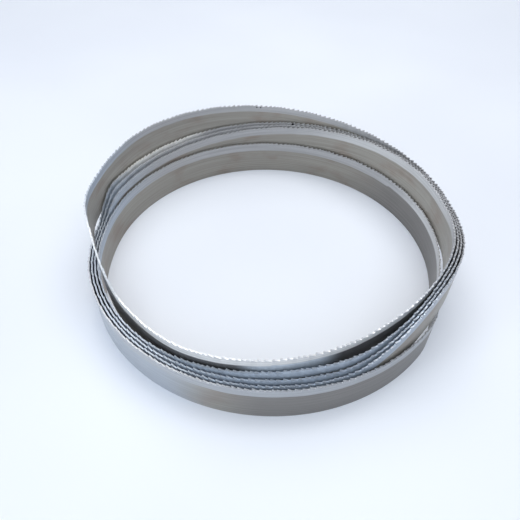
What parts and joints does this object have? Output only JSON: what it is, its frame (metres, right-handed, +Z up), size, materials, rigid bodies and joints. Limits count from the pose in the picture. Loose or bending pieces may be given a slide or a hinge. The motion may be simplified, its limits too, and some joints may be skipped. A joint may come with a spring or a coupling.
{
  "type": "band saw blade",
  "caption": "Endless toothed steel band saw blade, coiled into nested loops and lying on its plain back edge, teeth up.",
  "frame": {"origin": "centre of the coil's bounding box, on the surface that the lowest loop stands on", "axes": "+Z is up, across the band from its back edge to the tooth tips; -Y faces the picture's camera"},
  "size_m": [0.3055, 0.3062, 0.0769],
  "materials": {
    "band_steel": "cold rolled band with a paler, polished toothed edge"
  },
  "bodies": {
    "root": {"blade": "band_steel"}
  },
  "joints": []
}
